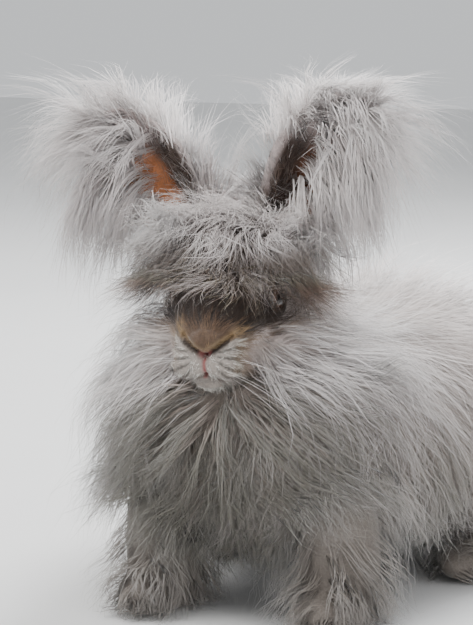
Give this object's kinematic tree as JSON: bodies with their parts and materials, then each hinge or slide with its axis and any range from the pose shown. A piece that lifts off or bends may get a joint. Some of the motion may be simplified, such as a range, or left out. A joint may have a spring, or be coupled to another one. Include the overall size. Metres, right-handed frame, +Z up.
{
  "type": "angora rabbit",
  "caption": "Life-size still model of a crouching long-coated rabbit, head turned, for display.",
  "frame": {"origin": "on the floor, at the centre of the model's footprint box", "axes": "+Z up, the rabbit faces -Y with its head turned towards +X, its left side is +X"},
  "size_m": [0.2472, 0.3676, 0.275],
  "materials": {
    "wool": "matt fine wool",
    "face_fur": "short matt fur",
    "eye": "wet gloss"
  },
  "bodies": {
    "root": {"head": "face_fur", "neck": "wool", "torso": "wool", "tail": "wool", "ear_left": "wool", "ear_right": "wool", "eye_left": "eye", "eye_right": "eye", "leg_front_left": "wool", "leg_front_right": "wool", "leg_hind_left": "wool", "leg_hind_right": "wool"}
  },
  "joints": []
}
